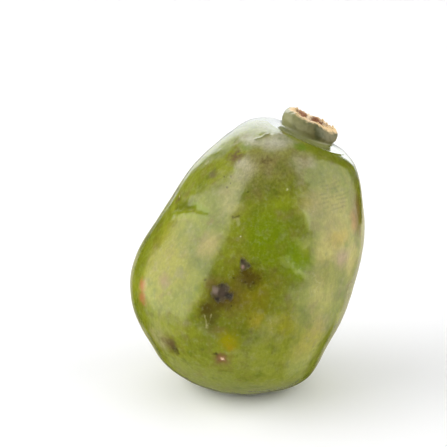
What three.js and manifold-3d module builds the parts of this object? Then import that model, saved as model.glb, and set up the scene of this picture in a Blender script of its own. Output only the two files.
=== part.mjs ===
// A jocote, the small plum-like fruit with a fleshy crown round its stem scar. It is one solid, as it grew.
// It stands on a small flat spot at its blossom end and leans, so that its weight is over that spot.
// Millimetres, +Z up. The origin is the centre of the flat spot, +X is the way that the fruit leans.
import * as THREE from "three";
import { mergeVertices } from "three/addons/utils/BufferGeometryUtils.js";
import Module from "manifold-3d";

const wasm = await Module();
wasm.setup();

// Driving dimensions.
const girthRadius = 16.5; // widest ring of the body
const bodyLength = 42.1; // blossom end to the shoulder that carries the crown
const crownRadius = 4.45; // outside of the crown's fleshy ring
const crownHeight = 2.9; // shoulder to the crown's rim
const depthShare = 0.96; // front to back, as a share of side to side
const leanRight = 20.8; // degrees from upright, towards +X
const leanBack = 6.8; // degrees from upright, towards +Y
const flatDepth = 0.8; // how much of the rounded end the flat spot takes away

// Fineness of the faceted surface.
const segmentsRound = 64;
const bodyRings = 36;
const crownRings = 24;

// The outline of the body, as [share of girthRadius, share of bodyLength] from the blossom end upwards.
const bodyShares = [
  [0, 0],
  [0.295, 0.017],
  [0.577, 0.069],
  [0.897, 0.188],
  [1, 0.378],
  [0.948, 0.568],
  [0.865, 0.734],
  [0.7, 0.876],
  [0.54, 0.967],
  [0.395, 1],
];
const middleShare = 0.52; // the height that swellings and hollows are measured from

// How far the rings sit to the right of a straight axis, as [share of bodyLength, share of girthRadius].
const swayShares = [
  [0, -0.04],
  [0.116, 0.04],
  [0.306, -0.02],
  [0.52, 0.02],
  [0.686, 0.037],
  [1, 0.03],
];

// The outline of the crown, as [share of crownRadius, share of crownHeight] from its neck over the rim to the scar.
const crownShares = [
  [0.98, 0.1],
  [1, 0.45],
  [0.97, 0.76],
  [0.8, 0.98],
  [0.6, 0.94],
  [0.43, 0.7],
  [0.24, 0.6],
  [0, 0.63],
];

// Places where the body swells or is hollow: round is the angle round the axis from +X, up is the angle above the
// middle, both in degrees, spread is the half width in degrees, and rise is in millimetres, below 0 in a hollow.
const swellings = [
  { name: "front cheek", round: -105, up: -8, spread: 28, rise: 0.3 },
  { name: "front right hollow", round: -52, up: 4, spread: 13, rise: -0.3 },
  { name: "back cheek", round: 75, up: 12, spread: 30, rise: 0.35 },
  { name: "back hollow", round: 128, up: -14, spread: 18, rise: -0.4 },
];

// The crown sits a little to the right, tips that way, and has five soft lobes.
const crownShift = 0.35;
const crownTip = 2.5; // degrees
const crownBlend = 8; // height of the shoulder over which the shift and tip grow
const lobes = { count: 5, depth: 0.04, turn: 0.6, rise: 0.12, leftRise: 0.16 };

const shoulderHeight = (1 - middleShare) * bodyLength;
const heightAt = (share) => (share - middleShare) * bodyLength;

const sway = new THREE.SplineCurve(
  swayShares.map(([up, right]) => new THREE.Vector2(heightAt(up), right * girthRadius)),
).getPoints(10 * swayShares.length);

function fruitOutline() {
  const body = new THREE.SplineCurve(
    bodyShares.map(([r, h]) => new THREE.Vector2(r * girthRadius, heightAt(h))),
  );
  const shoulder = body.points[body.points.length - 1];
  const crown = new THREE.SplineCurve([
    shoulder,
    ...crownShares.map(([r, h]) => new THREE.Vector2(r * crownRadius, shoulderHeight + h * crownHeight)),
  ]);
  return [...body.getPoints(bodyRings), ...crown.getPoints(crownRings).slice(1)];
}

// How far the skin stands out at a place on the body.
function swellAt(direction) {
  let rise = 0;
  for (const swelling of swellings) {
    const round = THREE.MathUtils.degToRad(swelling.round);
    const up = THREE.MathUtils.degToRad(swelling.up);
    const centre = new THREE.Vector3(Math.cos(up) * Math.cos(round), Math.cos(up) * Math.sin(round), Math.sin(up));
    const sharpness = 1 / (1 - Math.cos(THREE.MathUtils.degToRad(swelling.spread)));
    rise += swelling.rise * Math.exp(sharpness * (direction.dot(centre) - 1));
  }
  return rise;
}

// How far to the right the ring at a height sits.
function swayAt(height) {
  const next = sway.findIndex((point) => point.x > height);
  if (next === 0) return sway[0].y;
  if (next < 0) return sway[sway.length - 1].y;
  const [below, above] = [sway[next - 1], sway[next]];
  return THREE.MathUtils.mapLinear(height, below.x, above.x, below.y, above.y);
}

// Turns the plain turned shape into the grown one.
function grow(geometry) {
  const position = geometry.getAttribute("position");
  const point = new THREE.Vector3();
  for (let i = 0; i < position.count; i++) {
    point.fromBufferAttribute(position, i);
    const crownness = THREE.MathUtils.smoothstep(point.z, shoulderHeight, shoulderHeight + 0.5 * crownHeight);
    const angle = Math.atan2(point.y, point.x);
    const lobe = Math.cos(lobes.count * angle + lobes.turn);
    const reach = Math.hypot(point.x, point.y) / crownRadius;
    point.x *= 1 + crownness * lobes.depth * lobe;
    point.y *= 1 + crownness * lobes.depth * lobe;
    point.z += crownness * Math.min(reach, 1) * (lobes.rise * lobe - lobes.leftRise * Math.cos(angle));
    point.y *= depthShare;
    const direction = point.clone().normalize();
    point.addScaledVector(direction, swellAt(direction));
    const high = THREE.MathUtils.smoothstep(point.z, shoulderHeight - crownBlend, shoulderHeight);
    const right = swayAt(point.z) + crownShift * high;
    point.z -= point.x * Math.tan(THREE.MathUtils.degToRad(crownTip)) * high;
    point.x += right;
    position.setXYZ(i, point.x, point.y, point.z);
  }
}

function solidFrom(geometry) {
  const bare = geometry.clone();
  bare.deleteAttribute("normal");
  bare.deleteAttribute("uv");
  const merged = mergeVertices(bare, 1e-3);
  const corners = merged.index.array;
  const kept = [];
  for (let i = 0; i < corners.length; i += 3) {
    const [a, b, c] = corners.slice(i, i + 3);
    if (a !== b && b !== c && c !== a) kept.push(a, b, c);
  }
  const mesh = new wasm.Mesh({
    numProp: 3,
    vertProperties: merged.getAttribute("position").array,
    triVerts: new Uint32Array(kept),
  });
  return new wasm.Manifold(mesh);
}

function geometryFrom(solid) {
  const mesh = solid.getMesh();
  const geometry = new THREE.BufferGeometry();
  geometry.setAttribute("position", new THREE.BufferAttribute(mesh.vertProperties, 3));
  geometry.setIndex(new THREE.BufferAttribute(mesh.triVerts, 1));
  return geometry;
}

// The centre of the flat spot, from the corners that lie on z = 0.
function flatSpotCentre(geometry) {
  const position = geometry.getAttribute("position");
  const box = new THREE.Box3();
  for (let i = 0; i < position.count; i++) {
    const point = new THREE.Vector3().fromBufferAttribute(position, i);
    if (Math.abs(point.z) < 1e-3) box.expandByPoint(point);
  }
  return box.getCenter(new THREE.Vector3());
}

function makeJocote() {
  const turned = new THREE.LatheGeometry(fruitOutline(), segmentsRound);
  turned.rotateX(Math.PI / 2);
  grow(turned);
  turned.rotateX(-THREE.MathUtils.degToRad(leanBack));
  turned.rotateY(THREE.MathUtils.degToRad(leanRight));
  turned.computeBoundingBox();
  turned.translate(0, 0, -turned.boundingBox.min.z - flatDepth);

  const slabSide = 4 * girthRadius;
  const slab = new THREE.BoxGeometry(slabSide, slabSide, slabSide).translate(0, 0, -slabSide / 2);
  const geometry = geometryFrom(solidFrom(turned).subtract(solidFrom(slab)));
  const spot = flatSpotCentre(geometry);
  geometry.translate(-spot.x, -spot.y, 0);
  geometry.computeVertexNormals();
  return geometry;
}

const skin = new THREE.MeshStandardMaterial({ color: 0x7f8a2e, roughness: 0.35, metalness: 0 });
const jocote = new THREE.Mesh(makeJocote(), skin);
jocote.name = "jocote";

const fruit = new THREE.Group();
fruit.add(jocote);

export default fruit;
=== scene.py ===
import math

import bpy
import numpy as np
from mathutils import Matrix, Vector


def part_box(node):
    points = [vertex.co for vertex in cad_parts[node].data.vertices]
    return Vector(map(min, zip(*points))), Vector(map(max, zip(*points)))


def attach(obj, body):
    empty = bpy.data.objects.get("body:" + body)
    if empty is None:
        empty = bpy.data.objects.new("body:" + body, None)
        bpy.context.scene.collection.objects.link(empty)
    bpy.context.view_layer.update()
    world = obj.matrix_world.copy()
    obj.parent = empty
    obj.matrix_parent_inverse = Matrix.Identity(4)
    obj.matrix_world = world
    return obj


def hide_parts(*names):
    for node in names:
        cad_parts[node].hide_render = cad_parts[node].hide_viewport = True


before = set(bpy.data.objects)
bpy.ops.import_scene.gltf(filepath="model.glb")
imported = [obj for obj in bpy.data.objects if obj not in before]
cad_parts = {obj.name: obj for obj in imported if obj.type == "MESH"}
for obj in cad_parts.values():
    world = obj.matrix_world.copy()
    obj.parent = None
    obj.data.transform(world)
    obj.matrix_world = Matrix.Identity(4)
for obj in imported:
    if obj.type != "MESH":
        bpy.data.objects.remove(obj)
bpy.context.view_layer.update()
cadLow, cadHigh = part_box("jocote")
mm = 0.001


def addNode(tree, kind, inputs=None, **settings):
    made = tree.nodes.new(kind)
    for name, value in settings.items():
        setattr(made, name, value)
    for key, value in (inputs or {}).items():
        feed(tree, made.inputs[key], value)
    return made


def feed(tree, socket, value):  # a socket takes a link, anything else is its fixed value
    if isinstance(value, bpy.types.NodeSocket):
        tree.links.new(value, socket)
    else:
        socket.default_value = value


def maths(tree, operation, *values, clamp=False):
    made = addNode(tree, "ShaderNodeMath", operation=operation, use_clamp=clamp)
    for socket, value in zip(made.inputs, values):
        feed(tree, socket, value)
    return made.outputs[0]


def vectorMaths(tree, operation, *values, output="Vector"):
    made = addNode(tree, "ShaderNodeVectorMath", operation=operation)
    for socket, value in zip(made.inputs, values):
        feed(tree, socket, value)
    return made.outputs[output]


def ramp(tree, value, low, high, toLow=0.0, toHigh=1.0):  # smooth step from low to high
    values = {"Value": value, "From Min": low, "From Max": high, "To Min": toLow, "To Max": toHigh}
    return addNode(tree, "ShaderNodeMapRange", values, interpolation_type="SMOOTHSTEP").outputs["Result"]


def noise(tree, vector, scale, detail=2.0, roughness=0.5, distortion=0.0, output="Fac"):
    made = addNode(tree, "ShaderNodeTexNoise", {"Vector": vector, "Scale": scale, "Detail": detail,
                                                "Roughness": roughness, "Distortion": distortion})
    return made.outputs[output]


def tone(red, green, blue):  # a paint chart colour, 0 to 255, as the linear colour that a socket holds
    def linear(channel):
        share = channel / 255
        return share / 12.92 if share <= 0.04045 else ((share + 0.055) / 1.055) ** 2.4
    return (linear(red), linear(green), linear(blue), 1.0)


def maskGroup(name, treeType, *sockets):  # starts a node group that turns a place into a mask
    tree = bpy.data.node_groups.new(name, treeType)
    for label, kind in (("Place", "Vector"), ("Drift", "Vector"), ("Ragged", "Float"), *sockets):
        tree.interface.new_socket(label, in_out="INPUT", socket_type="NodeSocket" + kind)
    tree.interface.new_socket("Mask", in_out="OUTPUT", socket_type="NodeSocketFloat")
    given = addNode(tree, "NodeGroupInput").outputs
    moved = vectorMaths(tree, "ADD", given["Place"], scaled(tree, given["Drift"], given["Ragged"]))
    return tree, given, moved


# A soft blob round a place: 1 in the middle, 0 outside, with a ragged edge. Lengths are in millimetres.
def blobGroup(treeType):
    sockets = ("Centre", "Vector"), ("Reach", "Vector"), ("Edge", "Float")
    tree, given, moved = maskGroup("blob", treeType, *sockets)
    away = vectorMaths(tree, "DIVIDE", vectorMaths(tree, "SUBTRACT", moved, given["Centre"]), given["Reach"])
    far = vectorMaths(tree, "LENGTH", away, output="Value")
    inner = maths(tree, "SUBTRACT", 1.0, given["Edge"])
    addNode(tree, "NodeGroupOutput", {"Mask": ramp(tree, far, inner, 1.0, 1.0, 0.0)})
    return tree


strokeCore = 0.2  # the share of a stroke's half width that is solid


# A soft line from one place to another: 1 on the line, 0 at its half width.
def strokeGroup(treeType):
    sockets = ("Start", "Vector"), ("End", "Vector"), ("Width", "Float")
    tree, given, moved = maskGroup("stroke", treeType, *sockets)
    along = vectorMaths(tree, "SUBTRACT", given["End"], given["Start"])
    away = vectorMaths(tree, "SUBTRACT", moved, given["Start"])
    share = maths(tree, "DIVIDE", vectorMaths(tree, "DOT_PRODUCT", away, along, output="Value"),
                  vectorMaths(tree, "DOT_PRODUCT", along, along, output="Value"), clamp=True)
    gap = vectorMaths(tree, "SUBTRACT", away, scaled(tree, along, share))
    far = maths(tree, "DIVIDE", vectorMaths(tree, "LENGTH", gap, output="Value"), given["Width"])
    addNode(tree, "NodeGroupOutput", {"Mask": ramp(tree, far, strokeCore, 1.0, 1.0, 0.0)})
    return tree


def scaled(tree, vector, factor):
    made = addNode(tree, "ShaderNodeVectorMath", {"Vector": vector, "Scale": factor}, operation="SCALE")
    return made.outputs["Vector"]


# How edges stray from where they are drawn, as the (scale, detail, reach) of a noise.
straying = {"slow": (0.2, 3.0, 5.0), "fast": (0.9, 4.0, 2.5)}
markDefaults = {"edge": 0.9, "ragged": 0.3}


def wander(tree, place, scale, detail, reach, roughness=0.65):
    cloud = noise(tree, place, scale, detail, roughness, output="Color")
    return scaled(tree, vectorMaths(tree, "SUBTRACT", cloud, (0.5, 0.5, 0.5)), reach)


class Marker:  # gives the mask of any blob or stroke in one node tree
    def __init__(self, tree, place):
        self.tree, self.place = tree, place
        self.kind = "GeometryNodeGroup" if tree.bl_idname == "GeometryNodeTree" else "ShaderNodeGroup"
        self.blob, self.stroke = blobGroup(tree.bl_idname), strokeGroup(tree.bl_idname)
        self.slow = wander(tree, place, *straying["slow"])
        self.fast = wander(tree, place, *straying["fast"])

    def mask(self, mark):
        mark = {**markDefaults, **mark}
        if "to" in mark:
            group, values = self.stroke, {"Start": mark["at"], "End": mark["to"], "Width": mark["width"]}
        else:
            group, values = self.blob, {"Centre": mark["at"], "Reach": mark["reach"], "Edge": mark["edge"]}
        values["Place"], values["Ragged"] = self.place, mark["ragged"]
        values["Drift"] = self.slow if mark.get("broad") else self.fast
        made = addNode(self.tree, self.kind, node_tree=group)
        for label, value in values.items():
            feed(self.tree, made.inputs[label], value)
        return made.outputs["Mask"]


# Lengths in millimetres, angles in degrees. The outlines run from the blossom end to the middle of the scar.
fruitShape = {
    "girthRadius": 16.5, "bodyLength": 42.1, "crownRadius": 4.45, "crownHeight": 2.9,
    "depthShare": 0.96, "leanRight": 20.8, "leanBack": 6.8, "flatDepth": 0.8, "pressSoftness": 0.12,
    "middleShare": 0.52,
    "body": [(0, 0), (0.295, 0.017), (0.577, 0.069), (0.897, 0.188), (1, 0.378), (0.948, 0.568),
             (0.865, 0.734), (0.7, 0.876), (0.54, 0.967), (0.395, 1)],
    "sway": [(0, -0.04), (0.116, 0.04), (0.306, -0.02), (0.52, 0.02), (0.686, 0.037), (1, 0.03)],
    "crown": [(0.98, 0.1), (1, 0.45), (0.97, 0.76), (0.8, 0.98), (0.6, 0.94), (0.43, 0.7), (0.24, 0.6),
              (0, 0.63)],
    "swellings": [  # turn round the axis, angle above the middle, half width, rise
        (-105, -8, 28, 0.3), (-52, 4, 13, -0.3), (75, 12, 30, 0.35), (128, -14, 18, -0.4)],
    "crownShift": 0.35, "crownTip": 2.5, "crownBlend": 8,
    "lobeCount": 5, "lobeDepth": 0.04, "lobeTurn": 0.6, "lobeRise": 0.12, "leftRise": 0.16,
    "segmentsRound": 360, "bodyRings": 196, "crownRings": 62, "swaySteps": 60,
}


def smoothThrough(points, count):  # a curve through all the points, evenly timed from one to the next
    corners = np.array(points, float)
    last = len(corners) - 1
    time = np.linspace(0, last, count + 1)
    start = np.minimum(time.astype(int), last - 1)
    part = (time - start)[:, None]
    here, ahead = corners[start], corners[start + 1]
    slopeHere = 0.5 * (ahead - corners[np.maximum(start - 1, 0)])
    slopeAhead = 0.5 * (corners[np.minimum(start + 2, last)] - here)
    return ((2 * here - 2 * ahead + slopeHere + slopeAhead) * part ** 3
            + (3 * ahead - 3 * here - 2 * slopeHere - slopeAhead) * part ** 2 + slopeHere * part + here)


def smoothStep(value, low, high):
    share = np.clip((value - low) / (high - low), 0, 1)
    return share * share * (3 - 2 * share)


# Every point of the skin, as rings x segments x 3, with its lip and its turn round the axis. The lip is 0 on
# the body and runs from the shoulder over the crown's rim to 1 in the middle of the scar.
def grownRings(shape):
    length, girth = shape["bodyLength"], shape["girthRadius"]
    shoulder = (1 - shape["middleShare"]) * length
    body = [(r * girth, (h - shape["middleShare"]) * length) for r, h in shape["body"]]
    crown = [(r * shape["crownRadius"], shoulder + h * shape["crownHeight"]) for r, h in shape["crown"]]
    bodyCurve = smoothThrough(body, shape["bodyRings"])
    crownCurve = smoothThrough([body[-1]] + crown, shape["crownRings"])[1:]
    outline = np.vstack([bodyCurve, crownCurve])
    lip = np.concatenate([np.zeros(len(bodyCurve)), np.arange(1, len(crownCurve) + 1) / len(crownCurve)])
    turn = np.linspace(0, 2 * math.pi, shape["segmentsRound"], endpoint=False)
    radius, height = outline[:, :1], outline[:, 1:]
    x, y, z = radius * np.cos(turn), radius * np.sin(turn), height + 0 * turn

    crownness = smoothStep(z, shoulder, shoulder + 0.5 * shape["crownHeight"])
    lobe = np.cos(shape["lobeCount"] * turn + shape["lobeTurn"])
    reach = np.minimum(radius / shape["crownRadius"], 1)
    x, y = (side * (1 + crownness * shape["lobeDepth"] * lobe) for side in (x, y))
    z = z + crownness * reach * (shape["lobeRise"] * lobe - shape["leftRise"] * np.cos(turn))
    points = np.stack([x, y * shape["depthShare"], z], -1)
    outward = points / np.linalg.norm(points, axis=-1, keepdims=True)
    for degrees in shape["swellings"]:
        round_, up, spread = np.radians(degrees[:3])
        centre = np.array([math.cos(up) * math.cos(round_), math.cos(up) * math.sin(round_), math.sin(up)])
        swell = degrees[3] * np.exp((outward @ centre - 1) / (1 - math.cos(spread)))
        points = points + outward * swell[..., None]

    sway = smoothThrough([((h - shape["middleShare"]) * length, r * girth) for h, r in shape["sway"]],
                         shape["swaySteps"])
    x, y, z = np.moveaxis(points, -1, 0)
    high = smoothStep(z, shoulder - shape["crownBlend"], shoulder)
    moved = x + np.interp(z, sway[:, 0], sway[:, 1]) + shape["crownShift"] * high
    tipped = z - x * math.tan(math.radians(shape["crownTip"])) * high
    grown = np.stack([moved, y, tipped], -1)
    return grown, np.repeat(lip[:, None], len(turn), 1), np.tile(turn, (len(lip), 1))


def stoodUp(points, shape):  # leans the fruit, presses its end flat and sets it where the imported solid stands
    right, back = math.radians(shape["leanRight"]), -math.radians(shape["leanBack"])
    aboutX = np.array([[1, 0, 0], [0, math.cos(back), -math.sin(back)], [0, math.sin(back), math.cos(back)]])
    aboutY = np.array([[math.cos(right), 0, math.sin(right)], [0, 1, 0],
                       [-math.sin(right), 0, math.cos(right)]])
    placed = points @ (aboutY @ aboutX).T
    height = placed[..., 2] - placed[..., 2].min() - shape["flatDepth"]
    pressed = 0.5 * (height + np.sqrt(height ** 2 + shape["pressSoftness"] ** 2))
    placed[..., 2] = pressed - pressed.min()
    placed *= mm
    for axis in (0, 1):
        middle = (placed[..., axis].min() + placed[..., axis].max()) / 2
        placed[..., axis] += (cadLow[axis] + cadHigh[axis]) / 2 - middle
    return placed


def ringMesh(name, rings, attributes):  # closes the rings into a skin, with one point at each end
    count, around = rings.shape[:2]
    inner = rings[1:-1].reshape(-1, 3)
    points = np.vstack([rings[0, :1], inner, rings[-1, :1]])
    following = np.roll(np.arange(around), -1)
    faces = []
    for row in range(count - 3):
        low, high = 1 + row * around, 1 + (row + 1) * around
        faces += [(low + i, low + j, high + j, high + i) for i, j in enumerate(following)]
    top = len(points) - 1
    faces += [(0, 1 + j, 1 + i) for i, j in enumerate(following)]
    faces += [(top, top - around + i, top - around + j) for i, j in enumerate(following)]
    mesh = bpy.data.meshes.new(name)
    mesh.from_pydata(points.tolist(), [], faces)
    for label, values in attributes.items():
        flat = np.concatenate([values[0, :1], values[1:-1].ravel(), values[-1, :1]])
        mesh.attributes.new(label, "FLOAT", "POINT").data.foreach_set("value", flat.astype(np.float32))
    mesh.shade_smooth()
    mesh.validate()
    return mesh


def blob(at, reach, colour, amount, **more):  # the colour's amount is a share
    return {"at": at, "reach": reach, "colour": colour, "amount": amount, **more}


def stroke(at, to, width, colour, amount, **more):
    return {"at": at, "to": to, "width": width, "colour": colour, "amount": amount, **more}


# Marks on the skin, in millimetres from the centre of the flat spot. Broad ones come first and small ones
# last, because each colour is laid over the ones before it. A rise below 0 is a dent. A few marks are
# painted highlights, reflections or shade, and are noted so.
broadPatches = {
    "low pale green": blob((0, -10, 4), (22, 22, 13), (136, 143, 52), 0.75, edge=0.7, ragged=1.2),
    "grey shoulder": blob((3, -7, 38.5), (7.5, 6.5, 5), (120, 112, 64), 0.8, ragged=1),
    "high left green": blob((-8, -3.5, 34), (5, 5, 5.5), (118, 128, 34), 0.7, edge=0.8, ragged=1),
    "dull upper middle": blob((1.6, -9.6, 34.8), (5, 4, 3.4), (102, 104, 42), 0.75, ragged=0.8),
    "bright cheek": blob((3, -12.8, 28.5), (6, 6, 7), (108, 126, 4), 0.95, edge=0.8, ragged=1.2),
    "bright cheek low": blob((7.4, -13, 25), (3.4, 4, 4.2), (110, 130, 4), 0.95, edge=0.7, ragged=0.8),
    "bright cheek top": blob((5, -11, 32.5), (2, 2.6, 2.6), (124, 138, 14), 0.6, ragged=0.6),
    "olive middle": blob((-0.5, -15.3, 20.5), (6.5, 5, 7), (120, 112, 16), 0.85, ragged=1.2),
    "left cheek": blob((-12, -9, 24), (6, 7, 10), (146, 141, 34), 0.65, edge=0.8, ragged=1),
    "right cheek": blob((13, -8.5, 29), (6, 6.5, 10), (158, 150, 76), 0.65, edge=0.8, ragged=1.2),
    "right pink": blob((9.4, -9.6, 33), (3, 3, 3), (166, 138, 88), 0.3, ragged=1),
    "right pale": blob((11, -10.8, 25.6), (2.6, 3, 4), (178, 164, 80), 0.5, ragged=1),
    # painted shade: a darker green down the left edge, where the skin misses the shine
    "left edge painted shade": blob((-16.4, -4.6, 22.5), (3, 4.5, 7), (102, 112, 14), 0.75, ragged=1),
    "high left shade": blob((-7.1, -4.8, 33.9), (2.4, 2.6, 2.6), (104, 110, 26), 0.5, ragged=1),
    "olive low": blob((1.4, -15.9, 16.6), (2.4, 3, 2), (156, 142, 46), 0.6, ragged=1),
    # painted reflection: a near-white patch on the top of the shoulder, standing in for the shine there
    "painted shoulder reflection": blob((4, -4.2, 40.7), (4.5, 2.6, 1.8), (176, 172, 156), 0.75, ragged=0.6),
    "grey by the crown": blob((8.4, -6.4, 38.2), (3, 2.6, 2.2), (158, 152, 118), 0.8, ragged=0.8),
    "left bloom": blob((-2.6, -9.4, 33.4), (3, 4, 5), (166, 156, 104), 0.45, ragged=0.8),
    "left bloom low": blob((-6, -11.7, 27), (2.2, 3, 3.4), (178, 158, 92), 0.5, ragged=0.8),
    "pale by the cheek": blob((8.4, -12.2, 26.8), (1.3, 2, 2), (150, 150, 60), 0.5, ragged=0.6),
    "right low pale": blob((11, -10.8, 19), (4, 4.4, 5), (176, 168, 84), 0.5, ragged=1),
    "low middle pale": blob((5.6, -14.5, 15.4), (3.4, 3.6, 3.6), (160, 154, 42), 0.5, ragged=1),
    "low left grey": blob((-13.4, -10.4, 11.6), (2.8, 3.2, 4), (160, 152, 112), 0.65, ragged=0.8),
    "left edge shade": blob((-13.7, -2.6, 26.4), (2, 3, 3.6), (96, 104, 20), 0.6, ragged=0.8),
    "grey bloom high": blob((-0.2, -7, 36.6), (2.6, 3.2, 4.6), (168, 160, 128), 0.55, ragged=0.7),
    # painted reflection: more of the near-white shine on the shoulder, painted on
    "painted shoulder reflection left": blob((0, -3.2, 40.4), (3, 2.6, 2), (188, 184, 172), 0.6, ragged=0.7),
    "right dim": blob((10.8, -9.5, 31.2), (2.2, 2.6, 2.2), (112, 110, 48), 0.5, ragged=0.7),
    "stain above the scab": blob((-5.3, -14.5, 22), (2, 2.4, 2), (104, 78, 40), 0.5, ragged=0.8),
    # painted reflection: a pale band down the right edge, standing in for the shine along that edge
    "painted right rim reflection": blob((15.2, -6.2, 22.5), (2, 3, 5), (186, 172, 92), 0.7, ragged=0.6),
    "low right olive": blob((8.3, -12.2, 10.5), (2.2, 2.8, 2.4), (122, 114, 44), 0.5, ragged=0.7),
    "right yellow": blob((13.4, -9, 27), (3, 3, 2.4), (166, 140, 34), 0.6, ragged=0.8),
    "right orange": blob((15.9, -5.4, 28.4), (1.7, 2.2, 2.3), (184, 132, 66), 0.7, ragged=0.4),
    "right pink grey": blob((13.9, -8.8, 23.8), (2.6, 3, 2.2), (158, 132, 104), 0.7, ragged=0.6),
    "right dark edge": blob((16.4, -3.8, 29), (2, 3.6, 5.8), (112, 92, 42), 0.85, ragged=0.6),
    "low right grey": blob((10.5, -11.2, 13.5), (2.6, 3, 4), (146, 128, 66), 0.55, ragged=0.6),
    "low right pale": blob((8.5, -11.5, 11), (5, 5, 5), (158, 150, 34), 0.65, ragged=1),
    "bright by the scab": blob((-7.4, -14.6, 19.9), (1.6, 2.2, 2.6), (126, 136, 6), 0.85,
                               edge=0.7, ragged=0.4),
    "back stain": blob((4.6, 14, 22), (3.4, 3, 3), (92, 80, 28), 0.6, ragged=1),
    "back pale": blob((-6, 12, 14), (7, 7, 6), (142, 144, 70), 0.6, ragged=1.4),
}

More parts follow.
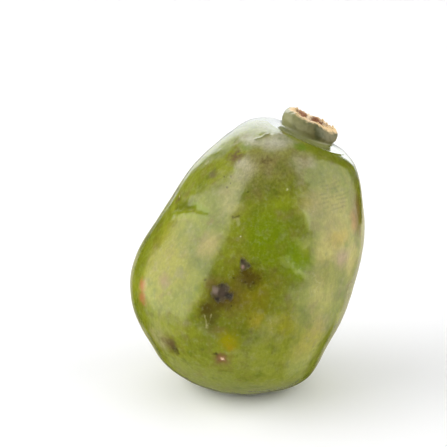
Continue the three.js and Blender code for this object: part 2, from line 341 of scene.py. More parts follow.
smallMarks = {
    "scab stain": blob((-3.6, -15.3, 20.2), (4.4, 4.4, 3.6), (78, 62, 22), 0.9, ragged=1.2),
    "middle stain": blob((0, -14.8, 23), (3.1, 2.8, 2.4), (74, 60, 14), 0.9, edge=0.8, ragged=1.6),
    "left stain": blob((-6.1, -15.3, 18.2), (2.6, 2.6, 2.3), (74, 62, 18), 0.92, ragged=1.0),
    "nick stain": blob((-5.4, -15.7, 16.6), (1.8, 2.3, 2.2), (78, 72, 24), 0.8, ragged=1, rise=-0.12),
    "grey patch": blob((-4.3, -15.9, 15.1), (1.9, 2, 1.2), (110, 98, 42), 0.8, edge=0.8, ragged=0.9),
    "yellow patch": blob((-2.9, -16, 13.6), (2.6, 2.8, 2.3), (140, 134, 0), 0.95, edge=1, ragged=0.9),
    "orange tinge": blob((-2.8, -16, 12.4), (1.1, 1.6, 1.1), (152, 124, 8), 0.6, edge=1, ragged=0.8),
    "smudge by the cheek": blob((3.8, -14.1, 24), (0.9, 1, 0.9), (88, 84, 26), 0.5, edge=1, ragged=0.8),
    "low smudge": blob((5.9, -14.3, 19.4), (1.1, 1.2, 1.2), (96, 88, 38), 0.45, edge=1, ragged=0.9),
    "low left smudge": blob((-9.1, -14.4, 13.2), (1, 1.2, 0.9), (108, 98, 48), 0.45, edge=1, ragged=0.8),
    "low green fleck": blob((-6.9, -15.1, 11.8), (0.5, 0.7, 0.5), (88, 96, 30), 0.7, ragged=0.5),
    "ringed halo": blob((-3.9, -15.4, 10.3), (1.9, 2.2, 1.8), (120, 104, 56), 0.8, ragged=0.9, rise=-0.12),
    "ringed brown": blob((-4, -15.4, 10.4), (1.4, 1.5, 1.3), (116, 84, 50), 0.9,
                         edge=0.8, ragged=0.7, rise=-0.14),
    "ringed dark side": blob((-4.8, -15.2, 11.1), (0.7, 0.8, 0.5), (56, 44, 22), 0.8, ragged=0.5),
    "ringed pink": blob((-3.85, -15.5, 10.4), (0.8, 1, 0.7), (158, 118, 84), 0.7, ragged=0.4),
    # the pale centre on a slight bump is partly the spot's own tan and partly a painted highlight
    "ringed centre with painted highlight": blob((-3.75, -15.6, 10.3), (0.42, 0.65, 0.36), (226, 198, 164), 0.95,
                          edge=0.7, ragged=0.3, rise=0.2),
    "low mark halo": blob((-11.5, -12.2, 11.3), (1.9, 2.2, 2.6), (92, 74, 46), 0.9, ragged=1, rise=-0.14),
    "low mark": blob((-10.9, -12.5, 10.3), (1.1, 1.2, 1.4), (52, 40, 18), 0.85, ragged=0.7, rise=-0.12),
    "pink blotch": blob((-15.8, -7.4, 18.9), (1.3, 2.1, 1.6), (172, 108, 70), 0.75, ragged=1),
    "pink blotch low": blob((-15.7, -8, 17), (1.2, 2, 1.5), (168, 98, 66), 0.7, ragged=1),
    "mauve spot": blob((-12.5, -10.8, 20.9), (1.8, 1.9, 1.8), (136, 110, 78), 0.7, ragged=0.8),
    "mauve spot high": blob((-10, -11.8, 22.8), (1.3, 1.6, 1.3), (122, 112, 80), 0.45, edge=1, ragged=0.8),
    "left bruise": blob((-10.6, -2.3, 30.9), (1.1, 1.4, 1.1), (92, 72, 44), 0.75, ragged=0.8, rise=-0.15),
    "grey bruise": blob((-5.3, -4.7, 35.6), (1.4, 1.5, 1.2), (100, 90, 62), 0.8, ragged=0.7),
    "mauve smudge": blob((-2, -4.3, 38.4), (2.1, 2, 1), (96, 70, 56), 0.9, edge=1, ragged=1.4),
    "brown shoulder mark": blob((2.6, -6.9, 38.3), (1.2, 1.4, 1.1), (82, 66, 34), 0.75, edge=1, ragged=2),
    "green by the crown": blob((8, -4.5, 39.8), (2, 1.4, 0.9), (96, 126, 34), 0.7, ragged=1),
    "green under the fold": blob((-0.4, -3.6, 39.6), (2, 1.4, 0.7), (104, 124, 36), 0.6, ragged=1),
    # painted shade: a darker line along the fold on the shoulder, over a slight ridge
    "shoulder fold painted shade": stroke((1.2, -3.4, 40.5), (3, -2.9, 41.2), 0.32, (96, 102, 60), 0.6,
                              rise=0.09, ragged=0.6),
    # painted shade: a darker green laid in the crease, over a shallow dent
    "left crease": stroke((-10.8, -3.7, 30.5), (-8.5, -6.1, 31.5), 1.5, (88, 96, 14), 0.9,
                          ragged=0.4, rise=-0.16),
    "left crease end": stroke((-8.5, -6.1, 31.5), (-6.1, -8.8, 31.2), 0.8, (112, 130, 20), 0.7,
                              ragged=0.4, rise=-0.1),
    "crease lip": stroke((-10.8, -4.2, 28.9), (-8.6, -6.7, 29.9), 1.0, (112, 128, 20), 0.5,
                         ragged=0.4, rise=0.16),
    "crease lip end": stroke((-8.6, -6.7, 29.9), (-6.2, -9.1, 30.3), 0.8, (112, 130, 20), 0.4,
                             ragged=0.4, rise=0.1),
    # painted highlights: pale streaks over slight ridges, where the edge of the right shine breaks up
    "painted highlight streak high": stroke((8, -10.6, 31.7), (8.8, -11.3, 29.6), 0.7, (152, 160, 76), 0.45,
                               ragged=0.8, rise=0.05),
    "painted highlight streak middle": stroke((6.7, -12.4, 28.4), (8, -12.3, 26.9), 0.7, (156, 164, 84), 0.3,
                                 ragged=0.7, rise=0.05),
    "painted highlight streak low": stroke((4.9, -13.6, 25.3), (7.1, -13.3, 23.4), 0.7, (150, 160, 76), 0.3,
                              ragged=0.7, rise=0.05),
    "painted highlight streak end": stroke((7.1, -13.3, 23.4), (8.4, -12.8, 22.3), 0.6, (150, 160, 80), 0.4,
                              ragged=0.7, rise=0.04),
    "hook mark": stroke((-2.2, -11, 31.1), (-1.4, -11.2, 31.2), 0.28, (66, 58, 22), 0.6,
                        rise=-0.05, ragged=0.5),
    "hook mark pale": stroke((-1.7, -11.3, 30.8), (-1.5, -11.7, 30.2), 0.4, (184, 184, 134), 0.2,
                             ragged=0.5),
    "nick middle": stroke((-5.95, -15.6, 17.2), (-5.95, -15.6, 16.3), 0.24, (54, 48, 16), 0.85, rise=-0.15),
    "nick left": stroke((-6.4, -15.4, 17.1), (-6, -15.6, 15.5), 0.24, (176, 170, 110), 0.4,
                        rise=0.03, ragged=0.4),
    "nick right": stroke((-5.4, -15.6, 17.5), (-5.95, -15.6, 15.9), 0.24, (176, 170, 110), 0.4,
                         rise=0.03, ragged=0.4),
    "scab crust": blob((-3.8, -15.2, 20.9), (2.05, 2, 1.8), (56, 42, 24), 0.95,
                       edge=0.7, ragged=1, rise=-0.2, dry=True),
    # a real raised ledge on the scab's upper left, painted grey-pink as a highlight
    "scab shelf with painted highlight": blob((-4.75, -15, 21.1), (0.65, 0.85, 0.9), (118, 100, 86), 0.9,
                       edge=0.8, ragged=0.5, rise=0.22, dry=True),
    "scab bridge": blob((-3.7, -15.2, 20.7), (0.7, 0.9, 0.5), (66, 50, 38), 0.6,
                        ragged=0.4, rise=0.05, dry=True),
    "scab pit right": blob((-2.8, -15.5, 20.4), (1, 1, 0.85), (22, 14, 8), 0.95,
                           edge=0.8, ragged=0.5, rise=-0.15, dry=True),
    "scab pit low": blob((-4.5, -15.4, 19.8), (0.75, 0.9, 0.6), (30, 20, 10), 0.95,
                         edge=0.8, ragged=0.4, rise=-0.12, dry=True),
    "scab pit high": blob((-3.8, -14.9, 21.7), (0.6, 0.8, 0.5), (36, 24, 14), 0.85,
                          ragged=0.4, rise=-0.1, dry=True),
    "small crust": blob((-0.7, -14.2, 24.8), (1.15, 1.3, 1.5), (62, 44, 24), 0.95,
                        edge=0.8, ragged=0.9, rise=-0.15, dry=True),
    "small crust dark": stroke((-0.9, -14, 25.3), (-0.1, -14.3, 24.6), 0.45, (32, 20, 12), 0.9,
                               rise=-0.1, dry=True),
    "small crust pale": blob((-0.85, -14.3, 24.5), (0.42, 0.6, 0.6), (150, 120, 106), 0.85,
                             ragged=0.4, rise=0.1, dry=True),
    "back scab": blob((5.5, 14.5, 20), (1.6, 1.5, 1.3), (58, 42, 28), 0.9,
                      edge=0.6, ragged=1.3, rise=-0.32, dry=True),
    "back pit": blob((-8.5, 12.5, 24), (1.1, 1.3, 1.2), (80, 60, 36), 0.8,
                     edge=0.8, ragged=0.8, rise=-0.25),
    "left pit": blob((-16.5, 3, 17), (1, 1.3, 1.3), (96, 76, 46), 0.8, edge=0.8, ragged=0.8, rise=-0.22),
    "right pit": blob((15.5, 5.5, 23), (1, 1.3, 1.2), (90, 70, 44), 0.8, edge=0.8, ragged=0.8, rise=-0.22),
    "right furrow": blob((6.9, -13, 25.6), (3, 3, 3.6), (112, 132, 14), 0.15,
                         edge=1, ragged=0.8, rise=-0.2),
    "back crease": stroke((-3, 12.5, 30.5), (1.5, 12.8, 29), 0.5, (96, 98, 36), 0.6,
                          ragged=0.5, rise=-0.15),
}

scarMarks = {
    "brown pit left": blob((8.4, 5.2, 41.9), (0.8, 1.5, 0.8), (146, 92, 60), 0.85, edge=0.6, ragged=0.5),
    "cream lump": blob((9.5, 5.2, 41.3), (0.8, 1.9, 0.7), (240, 218, 184), 0.95, edge=0.6, ragged=0.4),
    "brown pit right": blob((10.5, 5.1, 40.8), (0.85, 1.8, 0.85), (140, 88, 54), 0.9, edge=0.6, ragged=0.4),
    "cream edge": blob((11.7, 4.2, 40.4), (0.5, 1.4, 0.6), (240, 222, 190), 0.9, edge=0.7, ragged=0.4),
}

# Single dots, as (place, half width).
darkDots = [
    ((-3.5, -6.4, 35.8), 0.24), ((-2.6, -6.9, 36), 0.22), ((-2.6, -7.7, 35.2), 0.2),
    ((-3.1, -7.9, 34.6), 0.26), ((-0.1, -9.4, 34.5), 0.2), ((-6.3, -14, 22.4), 0.32),
    ((-2.4, -15.9, 19), 0.22), ((-2.1, -14.7, 23), 0.26), ((-0.5, -15, 22.4), 0.3),
    ((0.9, -15, 22.4), 0.28), ((1.6, -14.9, 22.9), 0.2), ((-0.2, -14.9, 23.2), 0.18),
    ((-10.8, -9.2, 27.6), 0.24), ((-13.5, -7.8, 25), 0.2),
]
paleDots = [
    ((-1.1, -12.6, 28.6), 0.2), ((5.7, -9.5, 34.8), 0.26), ((-10.3, -1.9, 31.1), 0.2),
    ((-6.3, -14.6, 22), 0.3),
]


reliefSettings = {
    "Lump height": 0.16, "Lump size": 8.0,       # broad unevenness of the flesh
    "Wave height": 0.09, "Wave size": 3.6,      # slight waves that bend the edges of the shine
    "Ripple height": 0.014, "Ripple size": 1.3,
    "Mark depth": 1.0,                           # share of each mark's own rise
    "Crown fold height": 0.16, "Rim tear height": 0.24, "Tissue height": 0.34, "Tissue size": 0.8,
    "Crumb size": 0.2, "Crumbs to a square": 2.2,  # dry crumbs in the scar, to a square millimetre
    "Seed": 7.0,
}


crumbSettings = {
    "scarStart": 0.5, "fineness": 2,  # the lip value where crumbs begin, and the subdivisions of one crumb
    "turns": ((0, 0, 0), (6.28, 6.28, 6.28)),  # least and most, in radians
    "stretches": ((0.4, 0.4, 0.3), (1.7, 1.1, 0.8)),
    "spotSeed": 11, "turnSeed": 12, "stretchSeed": 13,
}


def randomBetween(tree, ends, seed):
    least, most = ends
    values = {0: least, 1: most, "Seed": seed}
    return addNode(tree, "FunctionNodeRandomValue", values, data_type="FLOAT_VECTOR").outputs[0]


def scarCrumbs(tree, skin, lip, given):  # small dry crumbs scattered over the scar and its rim
    density = maths(tree, "MULTIPLY", given["Crumbs to a square"], 1 / mm ** 2)
    onScar = addNode(tree, "FunctionNodeCompare", {"A": lip, "B": crumbSettings["scarStart"]},
                     data_type="FLOAT", operation="GREATER_THAN")
    spots = addNode(tree, "GeometryNodeDistributePointsOnFaces", {
        "Mesh": skin, "Selection": onScar.outputs[0], "Density": density, "Seed": crumbSettings["spotSeed"]})
    crumb = addNode(tree, "GeometryNodeMeshIcoSphere", {
        "Radius": maths(tree, "MULTIPLY", given["Crumb size"], mm),
        "Subdivisions": crumbSettings["fineness"]})
    turned = randomBetween(tree, crumbSettings["turns"], crumbSettings["turnSeed"])
    sized = randomBetween(tree, crumbSettings["stretches"], crumbSettings["stretchSeed"])
    return addNode(tree, "GeometryNodeInstanceOnPoints", {
        "Points": spots.outputs["Points"], "Instance": crumb.outputs["Mesh"], "Rotation": turned,
        "Scale": sized}).outputs[0]


def skinValue(tree, label):  # a number that each point of the skin carries
    made = addNode(tree, "GeometryNodeInputNamedAttribute", {"Name": label}, data_type="FLOAT")
    return made.outputs["Attribute"]


def reliefTree():
    tree = bpy.data.node_groups.new("skin relief", "GeometryNodeTree")
    tree.interface.new_socket("Geometry", in_out="INPUT", socket_type="NodeSocketGeometry")
    for label in reliefSettings:
        tree.interface.new_socket(label, in_out="INPUT", socket_type="NodeSocketFloat")
    tree.interface.new_socket("Skin", in_out="INPUT", socket_type="NodeSocketMaterial")
    tree.interface.new_socket("Geometry", in_out="OUTPUT", socket_type="NodeSocketGeometry")
    given = addNode(tree, "NodeGroupInput").outputs
    place = scaled(tree, addNode(tree, "GeometryNodeInputPosition").outputs[0], 1 / mm)
    seeded = vectorMaths(tree, "ADD", place, given["Seed"])
    lip, turn = skinValue(tree, "lip"), skinValue(tree, "turn")

    def swing(height, cloud):  # noise as a height, from minus to plus the given one
        centred = maths(tree, "SUBTRACT", cloud, 0.5)
        return maths(tree, "MULTIPLY", centred, maths(tree, "MULTIPLY", height, 2.0))

    def lumps(name, detail):  # unevenness with lumps about as wide as its size
        cloud = noise(tree, seeded, maths(tree, "DIVIDE", 1.0, given[name + " size"]), detail)
        return swing(given[name + " height"], cloud)

    swells = maths(tree, "ADD", lumps("Lump", 1.0), lumps("Wave", 2.0))
    body = maths(tree, "ADD", swells, lumps("Ripple", 2.0))
    body = maths(tree, "MULTIPLY", body, ramp(tree, lip, 0.02, 0.18, 1.0, 0.0))

    marker = Marker(tree, place)
    scars = 0.0
    for mark in smallMarks.values():
        if "rise" in mark:
            scars = maths(tree, "MULTIPLY_ADD", marker.mask(mark), mark["rise"], scars)
    scars = maths(tree, "MULTIPLY", scars, given["Mark depth"])

    # folds down the outside of the crown, a torn rim, and dry broken tissue inside it
    ring = addNode(tree, "ShaderNodeCombineXYZ", {
        "X": maths(tree, "COSINE", turn), "Y": maths(tree, "SINE", turn),
        "Z": maths(tree, "MULTIPLY", lip, 1.4)}).outputs[0]
    onWall = maths(tree, "MULTIPLY", ramp(tree, lip, 0.1, 0.3), ramp(tree, lip, 0.5, 0.7, 1.0, 0.0))
    onRim = maths(tree, "MULTIPLY", ramp(tree, lip, 0.38, 0.48), ramp(tree, lip, 0.58, 0.68, 1.0, 0.0))
    folds = maths(tree, "MULTIPLY", swing(given["Crown fold height"], noise(tree, ring, 3.2, 2.0)), onWall)
    tears = maths(tree, "MULTIPLY", swing(given["Rim tear height"], noise(tree, ring, 5.5, 4.0, 0.6)), onRim)
    tissue = maths(tree, "MULTIPLY", lumps("Tissue", 4.0), ramp(tree, lip, 0.52, 0.68))

    crown = maths(tree, "ADD", folds, maths(tree, "ADD", tears, tissue))
    rise = maths(tree, "ADD", maths(tree, "ADD", body, scars), crown)
    offFloor = ramp(tree, addNode(tree, "ShaderNodeSeparateXYZ", {"Vector": place}).outputs["Z"], 0.15, 1.6)
    rise = maths(tree, "MULTIPLY", maths(tree, "MULTIPLY", rise, offFloor), mm)
    offset = scaled(tree, addNode(tree, "GeometryNodeInputNormal").outputs[0], rise)
    moved = addNode(tree, "GeometryNodeSetPosition", {"Geometry": given["Geometry"], "Offset": offset})
    crumbs = scarCrumbs(tree, moved.outputs[0], lip, given)
    both = addNode(tree, "GeometryNodeJoinGeometry", {"Geometry": moved.outputs[0]})
    feed(tree, both.inputs["Geometry"], crumbs)
    whole = addNode(tree, "GeometryNodeRealizeInstances", {"Geometry": both.outputs[0]})
    coated = addNode(tree, "GeometryNodeSetMaterial", {
        "Geometry": whole.outputs[0], "Material": given["Skin"]})
    addNode(tree, "NodeGroupOutput", {"Geometry": coated.outputs[0]})
    return tree


def setInput(modifier, label, value):
    for item in modifier.node_group.interface.items_tree:
        if item.in_out == "INPUT" and item.name == label:
            modifier[item.identifier] = value


skinFinish = {
    "green": (106, 115, 22), "yellowGreen": (128, 134, 34), "olive": (98, 92, 28), "bloom": (150, 144, 108),
    "russet": (122, 96, 52), "deepGreen": (84, 100, 14), "mauve": (122, 101, 60),
    "speckPale": (190, 186, 120), "speckDark": (62, 54, 20),
    "dotDark": (46, 38, 16), "dotPale": (214, 212, 160),
    # the paler wall colour is a painted highlight for the left side of the crown wall
    "wall": (98, 92, 54), "wallPaintedHighlight": (126, 126, 80), "wallDark": (74, 76, 40),
    # the neck colour is a painted highlight, a pale line where the crown meets the shoulder
    "neckPaintedHighlight": (136, 138, 104), "lipTan": (222, 192, 142),
    "tissueBrown": (116, 74, 42), "tissueCream": (232, 212, 178),
    "roughness": 0.14, "bloomRoughness": 0.3, "dryRoughness": 0.8,
    "crownRoughness": 0.42, "scarRoughness": 0.85,
    "refraction": 1.45, "bumpStrength": 0.55, "bumpHeight": 0.05,  # the bump's height in millimetres
    "dotStrength": 0.75,
    "fibrousPlace": {"at": (3, -8, 37), "reach": (9, 8, 6), "ragged": 1.0, "broad": True},
    "wrinkledPlace": {"at": (12.6, -7, 33), "reach": (5, 4.6, 4), "edge": 0.6, "ragged": 1.0},
    "mottling": [("bloom", 3.0, 0.8, 0.2), ("deepGreen", 47.0, 0.5, 0.5), ("mauve", 71.0, 0.45, 0.35)],
    "specks": [("speckPale", 0.1, 0.64, 0.14), ("speckDark", 0.14, 0.58, 0.35)],
}


def mixColour(tree, share, first, second, mode="MIX"):
    made = addNode(tree, "ShaderNodeMix", data_type="RGBA", blend_type=mode)
    feed(tree, made.inputs["Factor"], share)
    feed(tree, made.inputs[6], first)
    feed(tree, made.inputs[7], second)
    return made.outputs[2]


def shaded(tree, colour, share):  # the colour made darker or lighter by a factor
    grey = addNode(tree, "ShaderNodeCombineXYZ", {"X": share, "Y": share, "Z": share}).outputs[0]
    return mixColour(tree, 1.0, colour, grey, "MULTIPLY")


def alongFruit(tree, place, scale):  # turns places upright, so that streaks run along the fruit
    upright = (math.radians(fruitShape["leanBack"]), -math.radians(fruitShape["leanRight"]), 0)
    made = addNode(tree, "ShaderNodeMapping", {"Vector": place, "Rotation": upright, "Scale": scale})
    return made.outputs[0]


def shifted(tree, place, x, y=0, z=0):  # the same noise read elsewhere, so that two patterns don't agree
    return vectorMaths(tree, "ADD", place, (x, y, z))


def cloudedGreen(tree, place, finish):
    broad = noise(tree, place, 0.13, 3.0, 0.55, 0.6)
    middling = noise(tree, place, 0.42, 4.0, 0.6, 0.4)
    streaks = noise(tree, alongFruit(tree, place, (1.1, 1.1, 0.3)), 1.0, 4.0, 0.6)
    rusty = noise(tree, shifted(tree, place, 17.0, 5.0), 0.5, 4.0, 0.6)
    green, yellowGreen, olive = (tone(*finish[key]) for key in ("green", "yellowGreen", "olive"))
    colour = mixColour(tree, ramp(tree, broad, 0.38, 0.66), green, yellowGreen)
    colour = mixColour(tree, ramp(tree, middling, 0.5, 0.74, 0.0, 0.6), colour, olive)
    colour = mixColour(tree, ramp(tree, streaks, 0.5, 0.75, 0.0, 0.35), colour, olive)
    return mixColour(tree, ramp(tree, rusty, 0.58, 0.78, 0.0, 0.5), colour, tone(*finish["russet"]))


def crownColours(tree, place, lip, turn, fine, skin, finish):
    cloud = noise(tree, place, 0.55, 3.0, 0.6)
    side = maths(tree, "COSINE", turn)  # 1 on the right, -1 on the left
    wall = mixColour(tree, ramp(tree, cloud, 0.4, 0.62), tone(*finish["wall"]), tone(*finish["wallDark"]))
    # painted highlight: the crown wall is painted paler towards its left side, where the light falls
    leftward = maths(tree, "MULTIPLY_ADD", cloud, -2.0, maths(tree, "SUBTRACT", 1.0, side))
    paintedHighlightShare = ramp(tree, leftward, -0.3, 1.0)
    wall = mixColour(tree, paintedHighlightShare, wall, tone(*finish["wallPaintedHighlight"]))
    ragged = maths(tree, "MULTIPLY_ADD", fine, 0.16, maths(tree, "SUBTRACT", lip, 0.08))
    rimStart = maths(tree, "MULTIPLY_ADD", maths(tree, "MAXIMUM", side, 0.0), 0.06, ragged)
    # painted highlight: the skin round the crown's neck is painted paler, most on its left side
    neckHighlightSide, neckGrain = ramp(tree, side, -0.4, 0.9, 0.8, 0.3), ramp(tree, fine, 0.3, 0.6, 0.5, 1.0)
    neck = mixColour(tree, maths(tree, "MULTIPLY", neckHighlightSide, neckGrain), skin, tone(*finish["neckPaintedHighlight"]))
    skin = mixColour(tree, ramp(tree, ragged, 0.0, 0.09), skin, neck)
    colour = mixColour(tree, ramp(tree, ragged, 0.08, 0.22), skin, wall)
    colour = mixColour(tree, ramp(tree, rimStart, 0.43, 0.5), colour, tone(*finish["lipTan"]))
    crumbs = noise(tree, place, 1.5, 4.0, 0.7)
    brown, cream = tone(*finish["tissueBrown"]), tone(*finish["tissueCream"])
    tissue = mixColour(tree, ramp(tree, crumbs, 0.52, 0.64), brown, cream)
    colour = mixColour(tree, ramp(tree, ragged, 0.56, 0.66), colour, tissue)
    return colour, ramp(tree, rimStart, 0.43, 0.52)


def laidOn(tree, colour, mask, share, paint):  # a paint over the colour, as strong as its mask and share
    return mixColour(tree, maths(tree, "MULTIPLY", mask, share), colour, tone(*paint))


def skinMaterial(finish):
    material = bpy.data.materials.new("waxy skin")
    material.use_nodes = True
    tree = material.node_tree
    tree.nodes.clear()
    place = scaled(tree, addNode(tree, "ShaderNodeTexCoord").outputs["Object"], 1 / mm)
    lip = addNode(tree, "ShaderNodeAttribute", attribute_name="lip").outputs["Fac"]
    turn = addNode(tree, "ShaderNodeAttribute", attribute_name="turn").outputs["Fac"]
    fine = noise(tree, place, 1.7, 4.0, 0.65)

    colour = cloudedGreen(tree, place, finish)
    bloom = ramp(tree, noise(tree, place, 0.21, 4.0, 0.55, 0.2), 0.5, 0.75)
    colour = laidOn(tree, colour, bloom, 0.3, finish["bloom"])
    marker = Marker(tree, place)
    dry = 0.0
    for patch in broadPatches.values():
        mask = marker.mask({**patch, "broad": True})
        colour = laidOn(tree, colour, mask, patch["amount"], patch["colour"])

    # fine mottling in three quiet tones, then fibres that are stronger on the shoulder
    for key, shift, size, most in finish["mottling"]:
        cloud = noise(tree, shifted(tree, place, shift, 11.0, 5.0), size, 2.5, 0.55)
        colour = mixColour(tree, ramp(tree, cloud, 0.5, 0.76, 0.0, most), colour, tone(*finish[key]))
    colour = shaded(tree, colour, ramp(tree, fine, 0.28, 0.72, 0.88, 1.11))
    fibres = noise(tree, alongFruit(tree, place, (3.6, 3.6, 0.9)), 1.0, 3.0, 0.6)
    fibrous = marker.mask(finish["fibrousPlace"])
    plain = ramp(tree, fibres, 0.3, 0.7, 0.93, 1.06)
    strong = ramp(tree, fibres, 0.34, 0.66, 0.84, 1.12)
    spread = maths(tree, "SUBTRACT", strong, plain)
    colour = shaded(tree, colour, maths(tree, "MULTIPLY_ADD", fibrous, spread, plain))
    for mark in smallMarks.values():
        mask = maths(tree, "MULTIPLY", marker.mask(mark), mark["amount"])
        colour = mixColour(tree, mask, colour, tone(*mark["colour"]))
        if mark.get("dry"):
            dry = maths(tree, "MAXIMUM", dry, mask)
    for key, dots in (("dotDark", darkDots), ("dotPale", paleDots)):
        for spot, width in dots:
            mask = marker.mask({"at": spot, "reach": (width, 2 * width, width), "edge": 1.0})
            colour = laidOn(tree, colour, mask, finish["dotStrength"], finish[key])
    for key, width, hides, strength in finish["specks"]:
        cells = addNode(tree, "ShaderNodeTexVoronoi", {"Vector": place, "Scale": 0.5, "Randomness": 1.0})
        dots = ramp(tree, cells.outputs["Distance"], width * 0.5, width, 1.0, 0.0)
        some = ramp(tree, noise(tree, shifted(tree, place, 15.0), 0.3, 2.0), hides, hides + 0.05)
        colour = laidOn(tree, colour, dots, maths(tree, "MULTIPLY", some, strength), finish[key])

    # fine wrinkles in the upper right of the skin, as bumps, with painted shade darkening the colour along them
    wrinkled = marker.mask(finish["wrinkledPlace"])
    waves = addNode(tree, "ShaderNodeTexWave", {
        "Vector": place, "Scale": 0.5, "Distortion": 6.0, "Detail": 3.0, "Detail Scale": 0.7},
        bands_direction="Z").outputs["Fac"]
    broken = ramp(tree, noise(tree, place, 0.9, 2.0), 0.3, 0.55)
    wrinkles = maths(tree, "MULTIPLY", maths(tree, "MULTIPLY", wrinkled, broken), waves)
    colour = shaded(tree, colour, ramp(tree, wrinkles, 0.2, 0.9, 1.0, 0.82))

    colour, crumbly = crownColours(tree, place, lip, turn, fine, colour, finish)
    for mark in scarMarks.values():
        colour = laidOn(tree, colour, marker.mask(mark), mark["amount"], mark["colour"])
    waxy = finish["roughness"]
    onCrown = ramp(tree, lip, 0.08, 0.2)
    roughness = maths(tree, "MULTIPLY_ADD", bloom, finish["bloomRoughness"] - waxy, waxy)
    roughness = maths(tree, "MULTIPLY_ADD", dry, finish["dryRoughness"] - waxy, roughness)
    for mask, key in ((onCrown, "crownRoughness"), (crumbly, "scarRoughness")):
        roughness = maths(tree, "MAXIMUM", roughness, maths(tree, "MULTIPLY", mask, finish[key]))
    grain = noise(tree, vectorMaths(tree, "MULTIPLY", place, (1.0, 1.0, 2.6)), 1.1, 5.0, 0.6, 0.5)
    height = maths(tree, "MULTIPLY_ADD", grain, 0.6, maths(tree, "MULTIPLY", fine, 0.4))
    height = maths(tree, "MULTIPLY_ADD", wrinkles, -0.9, height)
    bump = addNode(tree, "ShaderNodeBump", {
        "Strength": finish["bumpStrength"], "Distance": finish["bumpHeight"] * mm, "Height": height})
    shader = addNode(tree, "ShaderNodeBsdfPrincipled", {
        "Base Color": colour, "Roughness": roughness, "Normal": bump.outputs[0], "IOR": finish["refraction"]})
    addNode(tree, "ShaderNodeOutputMaterial", {"Surface": shader.outputs[0]})
    return material


def makeJocote():
    rings, lip, turn = grownRings(fruitShape)
    mesh = ringMesh("jocote_skin", stoodUp(rings, fruitShape), {"lip": lip, "turn": turn})
    blank = bpy.data.objects.new("jocote_blank", mesh)
    bpy.context.scene.collection.objects.link(blank)
    relief = blank.modifiers.new("skin relief", "NODES")
    relief.node_group = reliefTree()
    for label, value in reliefSettings.items():
        setInput(relief, label, value)
    setInput(relief, "Skin", skinMaterial(skinFinish))
    seen = blank.evaluated_get(bpy.context.evaluated_depsgraph_get())
    grown = bpy.data.meshes.new_from_object(seen)
    blank.modifiers.clear()
    fruit = bpy.data.objects.new("jocote_fruit", grown)
    bpy.context.scene.collection.objects.link(fruit)
    bpy.data.objects.remove(blank)
    grown.shade_smooth()
    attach(fruit, "root")
    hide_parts("jocote")
    print("fruit:", len(grown.polygons), "faces")


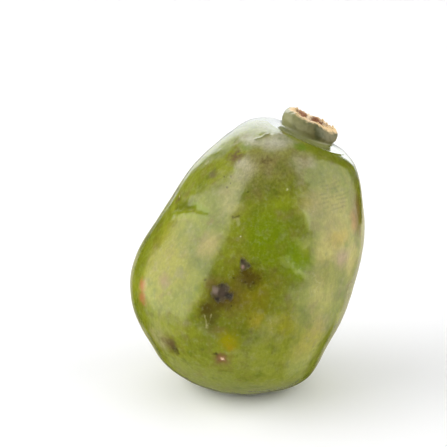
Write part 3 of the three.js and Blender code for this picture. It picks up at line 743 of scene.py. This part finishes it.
# Light sheets hang all round the fruit. Each is a row of stations from one side to the other, as (turn, low,
# high) in degrees: the turn from the camera's side, positive to the right, and the heights of its two edges
# seen from the fruit's middle. A fourth number is the sheet's strength there as a share, where it is dimmer.
# "low share" is how strong the lower edge is beside the upper one. Sheen sheets show only in the shine, and
# fill sheets only in the light.
studio = {
    "sheetsAway": 0.5, "sheetSteps": 6, "worldColour": (240, 240, 238), "worldGlow": 0.45,
    "floorSize": 4.0, "floorColour": (250, 250, 252), "floorRoughness": 0.9, "floorShine": 0.1,
    "sheetColours": {"sheen": (255, 251, 236), "fill": (255, 255, 255)},
    "sheets": [
        {"name": "left window", "glow": 3.6, "use": "sheen", "stations": [
            (-43, 8, 44, 0.8), (-47, -6, 50, 0.9), (-52, -16, 54), (-62, -17, 57), (-77, -17, 57),
            (-83.5, -17, 50), (-93, -17, 41.5, 0.9), (-107, -16, 31, 0.75), (-114, -11, 25, 0.6),
            (-118, -4, 21, 0.45), (-120, 4, 17, 0.3)]},
        {"name": "left window top", "glow": 6.6, "colour": (255, 250, 246), "use": "sheen", "stations": [
            (-83, 49.5, 57), (-107, 48.5, 55, 0.8)]},
        {"name": "left table", "glow": 1.1, "low share": 0.0, "use": "sheen", "stations": [
            (-52, -30, -16), (-62, -40, -16), (-84, -46, -17), (-107, -44, -16, 0.9), (-120, -30, -8, 0.6)]},
        {"name": "right window", "glow": 3.3, "use": "sheen", "stations": [
            (34, 40, 55, 0.6), (40, 34, 56), (46, 33, 56), (53, -2, 53), (60, -12, 52), (70, -18, 50),
            (85, -18, 47, 0.9), (100, -20, 42, 0.75), (112, -20, 36, 0.55), (118, -20, 30, 0.45),
            (126, -20, 14, 0.4)]},
        {"name": "right window low", "glow": 2.4, "use": "sheen", "stations": [
            (42, -8, 6, 0.5), (45, -10, 8), (50, -12, 8), (53, -12, 0)]},
        {"name": "right table", "glow": 2.5, "low share": 0.12, "use": "sheen", "stations": [
            (52, -20, -2), (60, -40, -12), (85, -60, -18), (104, -62, -20, 0.8), (118, -56, -20, 0.6),
            (126, -50, -20, 0.5)]},
        {"name": "back room", "glow": 8, "colour": (243, 246, 255), "low share": 0.12, "use": "sheen",
         "stations": [
            (152, -12, 20), (162, -10, 30), (170, -8, 50), (180, -8, 60), (196, -8, 60.5), (206, -6, 60),
            (210, 8, 60), (224, 34, 60), (237, 56, 60)]},
        {"name": "back table", "glow": 1.6, "low share": 0.4, "colour": (255, 244, 222), "use": "sheen",
         "stations": [
            (126, -36, -14, 0.7), (140, -36, -16), (156, -34, -14, 0.8), (170, -33, -12, 0.5),
            (206, -34, -10, 0.5), (212, -34, -16, 0.4)]},
        {"name": "back floor", "glow": 0.28, "use": "sheen", "stations": [
            (100, -80, -58), (130, -80, -42), (180, -80, -40), (230, -80, -44), (260, -80, -60)]},
        {"name": "ceiling", "glow": 0.9, "use": "sheen", "stations": [
            (-180, 64, 88), (-120, 64, 88), (-60, 64, 88), (0, 66, 88), (60, 64, 88), (120, 64, 88),
            (180, 64, 88)]},
        {"name": "left fill", "glow": 3.4, "use": "fill", "stations": [
            (-42, -2, 40), (-62, -2, 50), (-84, -2, 56), (-106, -2, 50), (-126, -2, 40)]},
        {"name": "right fill", "glow": 2.4, "use": "fill", "stations": [
            (40, -2, 38), (60, -2, 46), (80, -2, 50), (100, -2, 46), (118, -2, 38)]},
        {"name": "back fill", "glow": 1.8, "use": "fill", "stations": [
            (146, 26, 50), (180, 30, 56), (214, 26, 50)]},
        {"name": "front fill", "glow": 0.9, "use": "fill", "stations": [
            (-26, 16, 46), (0, 16, 48), (26, 16, 46)]},
    ],
}


def makeSheet(sheet, middle):
    paint = bpy.data.materials.new(sheet["name"])
    paint.use_nodes = True
    tree = paint.node_tree
    tree.nodes.clear()
    share = addNode(tree, "ShaderNodeAttribute", attribute_name="share").outputs["Fac"]
    strength = maths(tree, "MULTIPLY", share, sheet["glow"])
    glow = addNode(tree, "ShaderNodeEmission", {
        "Color": tone(*sheet.get("colour", studio["sheetColours"][sheet["use"]])), "Strength": strength})
    addNode(tree, "ShaderNodeOutputMaterial", {"Surface": glow.outputs[0]})
    points, shares, steps = [], [], studio["sheetSteps"]
    lowShare = sheet.get("low share", 1.0)
    for turn, low, high, *strength in sheet["stations"]:
        for step in range(steps + 1):
            up = math.radians(low + (high - low) * step / steps)
            around = math.radians(turn)
            way = Vector((math.sin(around) * math.cos(up), -math.cos(around) * math.cos(up), math.sin(up)))
            points.append(tuple(middle + way * studio["sheetsAway"]))
            fade = lowShare + (1 - lowShare) * step / steps
            shares.append(fade * (strength[0] if strength else 1.0))
    row = steps + 1
    faces = [(start + step, start + row + step, start + row + step + 1, start + step + 1)
             for start in range(0, len(points) - row, row) for step in range(steps)]
    mesh = bpy.data.meshes.new(sheet["name"])
    mesh.from_pydata(points, [], faces)
    mesh.attributes.new("share", "FLOAT", "POINT").data.foreach_set("value", shares)
    mesh.materials.append(paint)
    piece = bpy.data.objects.new(sheet["name"].replace(" ", "_"), mesh)
    bpy.context.scene.collection.objects.link(piece)
    piece.visible_camera = piece.visible_shadow = piece.visible_transmission = False
    piece.visible_diffuse = sheet["use"] == "fill"
    piece.visible_glossy = sheet["use"] == "sheen"


def makeStudio():
    for sheet in studio["sheets"]:
        makeSheet(sheet, (cadLow + cadHigh) / 2)

    half = studio["floorSize"] / 2
    mesh = bpy.data.meshes.new("floor")
    corners = [(-half, -half, 0), (half, -half, 0), (half, half, 0), (-half, half, 0)]
    mesh.from_pydata(corners, [], [(0, 1, 2, 3)])
    paint = bpy.data.materials.new("pale floor")
    paint.use_nodes = True
    shader = paint.node_tree.nodes["Principled BSDF"]
    shader.inputs["Base Color"].default_value = tone(*studio["floorColour"])
    shader.inputs["Roughness"].default_value = studio["floorRoughness"]
    shader.inputs["Specular IOR Level"].default_value = studio["floorShine"]
    mesh.materials.append(paint)
    floor = bpy.data.objects.new("floor", mesh)
    bpy.context.scene.collection.objects.link(floor)
    floor.visible_glossy = False

    world = bpy.data.worlds.new("pale room")
    world.use_nodes = True
    sky = world.node_tree.nodes["Background"]
    sky.inputs["Color"].default_value = tone(*studio["worldColour"])
    sky.inputs["Strength"].default_value = studio["worldGlow"]
    world.cycles_visibility.glossy = False
    bpy.context.scene.world = world
    bpy.context.scene.view_settings.view_transform = "Standard"
    print("studio made")


cameraSettings = {  # millimetres and degrees, with the clipping distances in metres
    "offset": (-3.6, 2.6, 3.4), "distance": 300, "lift": 20, "lens": 157, "sensor": 36, "clip": (0.01, 20)}


def makeCamera(settings):
    aim = (cadLow + cadHigh) / 2 + Vector(settings["offset"]) * mm
    lift = math.radians(settings["lift"])
    lens = bpy.data.cameras.new("camera")
    lens.lens, lens.sensor_width = settings["lens"], settings["sensor"]
    lens.clip_start, lens.clip_end = settings["clip"]
    camera = bpy.data.objects.new("camera", lens)
    camera.location = aim + Vector((0, -math.cos(lift), math.sin(lift))) * settings["distance"] * mm
    camera.rotation_euler = (math.pi / 2 - lift, 0, 0)
    bpy.context.scene.collection.objects.link(camera)
    bpy.context.scene.camera = camera
    print("camera made")


makeCamera(cameraSettings)
makeStudio()
makeJocote()
